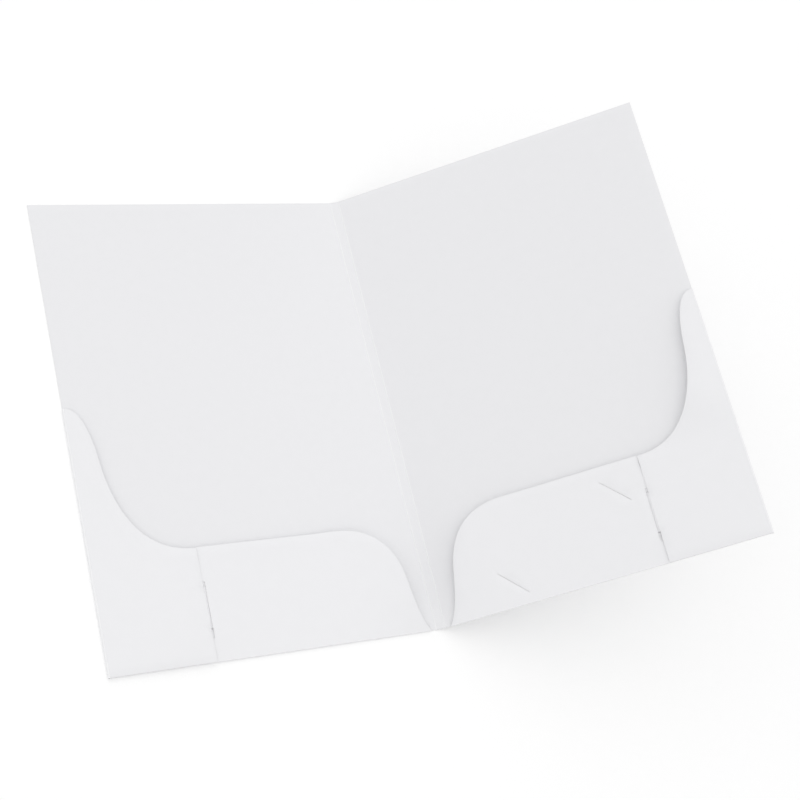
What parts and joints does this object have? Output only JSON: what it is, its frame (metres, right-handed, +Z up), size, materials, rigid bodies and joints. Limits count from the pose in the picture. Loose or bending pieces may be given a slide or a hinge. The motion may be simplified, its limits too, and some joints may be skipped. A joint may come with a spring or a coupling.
{
  "type": "two pocket folder",
  "caption": "White board presentation folder lying open, with creased spine, locked corner pockets on both covers and card slits.",
  "frame": {"origin": "middle of the underside of the left cover, which lies flat on the table", "axes": "+X across the folder from the left cover to the right, +Y up the page along the spine, +Z up from the table"},
  "size_m": [0.3865, 0.312, 0.1344],
  "materials": {
    "coated_board": "matt coated white board",
    "creased_board": "matt coated white board, scored and folded"
  },
  "bodies": {
    "left_cover": {"left_cover": "coated_board", "left_spine_crease": "creased_board", "left_bottom_fold": "creased_board", "left_side_fold": "creased_board"},
    "left_side_flap": {"left_side_flap": "coated_board", "left_lock_tongue": "coated_board"},
    "left_bottom_flap": {"left_bottom_flap": "coated_board"},
    "right_cover": {"right_cover": "coated_board", "right_spine_crease": "creased_board", "right_bottom_fold": "creased_board", "right_side_fold": "creased_board"},
    "right_side_flap": {"right_side_flap": "coated_board", "right_lock_tongue": "coated_board"},
    "right_bottom_flap": {"right_bottom_flap": "coated_board"},
    "spine": {"spine": "coated_board"}
  },
  "joints": [
    {"name": "left_crease", "type": "hinge", "parent": "left_cover", "child": "spine", "pos_m": [0.1065, 0, 0.0004], "axis": [0, -1, 0], "range_deg": [-18.9, 71]},
    {"name": "right_crease", "type": "hinge", "parent": "spine", "child": "right_cover", "pos_m": [0.11217, 0, 0.00235], "axis": [0, -1, 0], "range_deg": [-18.9, 71]},
    {"name": "left_side_hinge", "type": "hinge", "parent": "left_cover", "child": "left_side_flap", "pos_m": [-0.10545, 0, 0.00105], "axis": [0, -1, 0], "range_deg": [-0.5, 178.5], "deforming": ["left_side_fold", "left_lock_tongue"]},
    {"name": "left_bottom_hinge", "type": "hinge", "parent": "left_cover", "child": "left_bottom_flap", "pos_m": [0, -0.1552, 0.0008], "axis": [1, 0, 0], "range_deg": [-0.5, 178.5], "deforming": ["left_bottom_fold"]},
    {"name": "right_side_hinge", "type": "hinge", "parent": "right_cover", "child": "right_side_flap", "pos_m": [0.27879, 0, 0.13336], "axis": [0, 1, 0], "range_deg": [-0.5, 178.5], "deforming": ["right_side_fold", "right_lock_tongue"]},
    {"name": "right_bottom_hinge", "type": "hinge", "parent": "right_cover", "child": "right_bottom_flap", "pos_m": [0.19585, -0.1552, 0.06824], "axis": [0.788, 0, 0.6157], "range_deg": [-0.5, 178.5], "deforming": ["right_bottom_fold"]}
  ],
  "couplings": [
    {"joint": "left_bottom_hinge", "follows": "left_side_hinge", "ratio": 1},
    {"joint": "right_bottom_hinge", "follows": "right_side_hinge", "ratio": 1}
  ]
}
